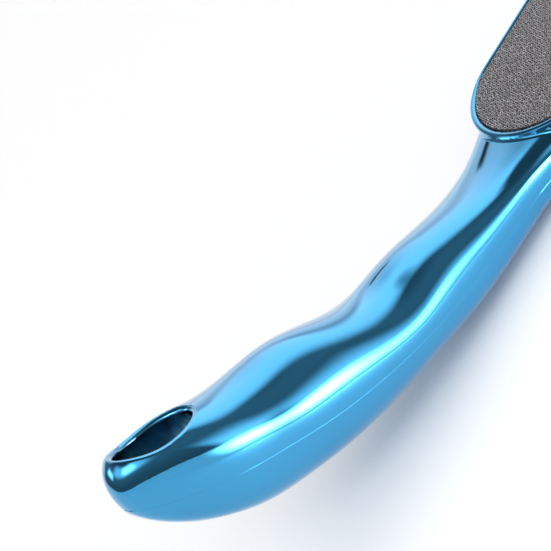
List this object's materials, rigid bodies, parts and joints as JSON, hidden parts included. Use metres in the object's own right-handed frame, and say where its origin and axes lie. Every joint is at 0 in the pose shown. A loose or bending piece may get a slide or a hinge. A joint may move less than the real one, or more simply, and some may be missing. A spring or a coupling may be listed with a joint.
{
  "type": "foot file",
  "caption": "Double-sided foot file with a stadium head carrying etched abrasive plates, a bent wavy grip handle and an oval hanging hole in its tail.",
  "frame": {"origin": "centre of the outer face of the back abrasive plate, the face that the head rests on", "axes": "+Z out of the front abrasive plate, +Y from the tail along the head, +X to the right; the handle leaves the head towards -Y and bends up"},
  "size_m": [0.051, 0.2599, 0.0623],
  "materials": {
    "plated_plastic": "mirror-bright blue electroplate on moulded plastic",
    "etched_steel": "dark etched abrasive relief of short wavy ridges",
    "adhesive": "double-sided adhesive film"
  },
  "bodies": {
    "root": {"front_shell": "plated_plastic", "back_shell": "plated_plastic", "front_abrasive_sheet": "etched_steel", "back_abrasive_sheet": "etched_steel", "front_adhesive_film": "adhesive", "back_adhesive_film": "adhesive"}
  },
  "joints": []
}
